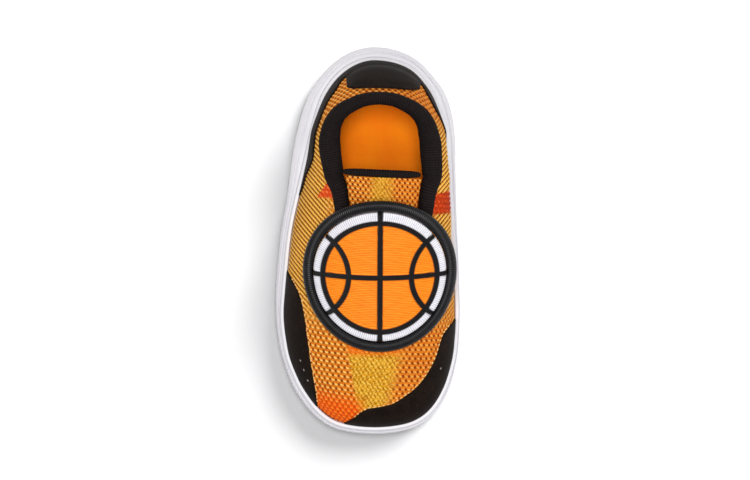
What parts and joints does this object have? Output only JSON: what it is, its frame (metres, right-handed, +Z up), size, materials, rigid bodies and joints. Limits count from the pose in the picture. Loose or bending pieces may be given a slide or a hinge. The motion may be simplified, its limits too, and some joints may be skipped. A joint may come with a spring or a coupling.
{
  "type": "slip-on sports shoe",
  "caption": "Low slip-on sports shoe for a small child: knitted mesh upper with film guards, padded collar, sewn round badge over the vamp and a white moulded cup sole.",
  "frame": {"origin": "on the floor under the middle of the sole's box", "axes": "+Y from heel to toe, +X to the outer (lateral) side of the right foot, +Z up"},
  "size_m": [0.0665, 0.1392, 0.0603],
  "materials": {
    "sole": "moulded white foam, satin",
    "insole": "smooth orange cloth",
    "upper": "orange and gold knitted mesh",
    "film": "black pressed film, semi-gloss",
    "collar": "black knit over foam",
    "badge": "embroidered thread",
    "badge_border": "black corded satin stitch"
  },
  "bodies": {
    "root": {"sole": "sole", "insole": "insole", "upper": "upper", "toe_guard": "film", "side_guard": "film", "heel_counter": "film", "heel_tab": "film", "collar": "collar", "tongue": "upper", "tongue_binding": "collar", "badge_field": "badge", "badge_border": "badge_border"}
  },
  "joints": []
}
